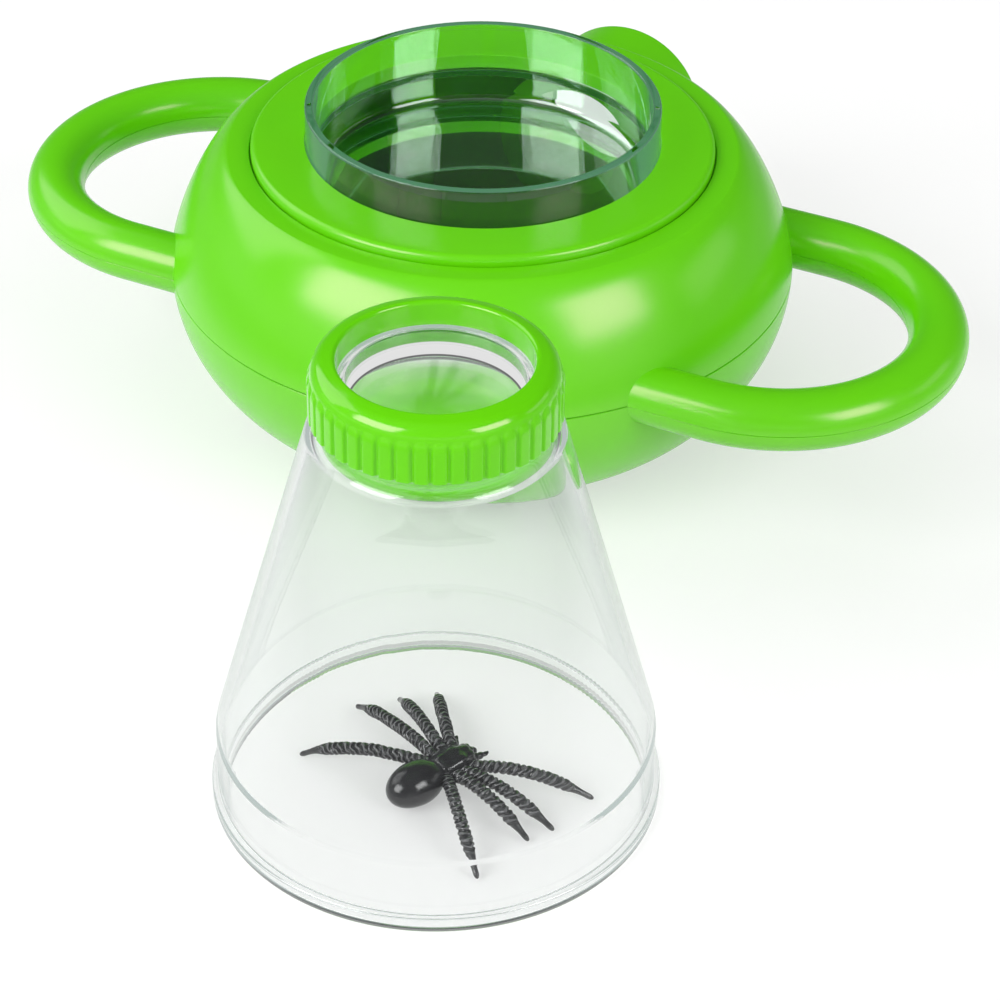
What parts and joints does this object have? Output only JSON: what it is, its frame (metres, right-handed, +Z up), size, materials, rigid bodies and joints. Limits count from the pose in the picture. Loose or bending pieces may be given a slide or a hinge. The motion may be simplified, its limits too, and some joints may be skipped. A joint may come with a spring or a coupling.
{
  "type": "bug viewer set",
  "caption": "Two-way bug viewer: a round station with loop handles, clear dish, mirror and eyepiece, and a clear conical jar with a magnifier screw cap over a toy spider.",
  "frame": {"origin": "middle of the station's flat foot, on the surface that it stands on", "axes": "+Z up, +X through one loop handle, +Y out through the eyepiece; the jar stands at -Y"},
  "size_m": [0.1808, 0.2018, 0.0791],
  "materials": {
    "green_shell": "satin moulded",
    "green_gloss": "polished moulded",
    "clear_plastic": "clear polished",
    "mirror": "mirror",
    "screw_steel": "plated",
    "black_rubber": "semi-gloss moulded"
  },
  "bodies": {
    "station": {"upper_shell": "green_shell", "lower_shell": "green_shell", "seat_ring": "green_shell", "viewing_dish": "clear_plastic", "mirror": "mirror", "mirror_carrier": "green_shell", "eyepiece_tube": "green_shell", "eyepiece_lens": "clear_plastic", "eyepiece_ring": "green_gloss", "shell_screws": "screw_steel"},
    "jar": {"jar_cone": "clear_plastic"},
    "lens_cup": {"cap_lens": "clear_plastic"},
    "cap": {"cap_ring": "green_gloss"},
    "spider": {"toy_spider": "black_rubber"}
  },
  "joints": [
    {"name": "jar_lift", "type": "slide", "parent": "station", "child": "jar", "axis": [0, 0, 1], "range_m": [0, 0.1]},
    {"name": "cap_turn", "type": "hinge", "parent": "lens_cup", "child": "cap", "pos_m": [0.0425, -0.102, 0.07], "axis": [0, 0, 1], "range_deg": [0, 720]},
    {"name": "cap_rise", "type": "slide", "parent": "jar", "child": "lens_cup", "axis": [0, 0, 1], "range_m": [0, 0.0066]},
    {"name": "spider_lift", "type": "slide", "parent": "station", "child": "spider", "axis": [0, 0, 1], "range_m": [0, 0.02]}
  ],
  "couplings": [
    {"joint": "cap_rise", "follows": "cap_turn", "m_per_rad": 0.0005093}
  ]
}
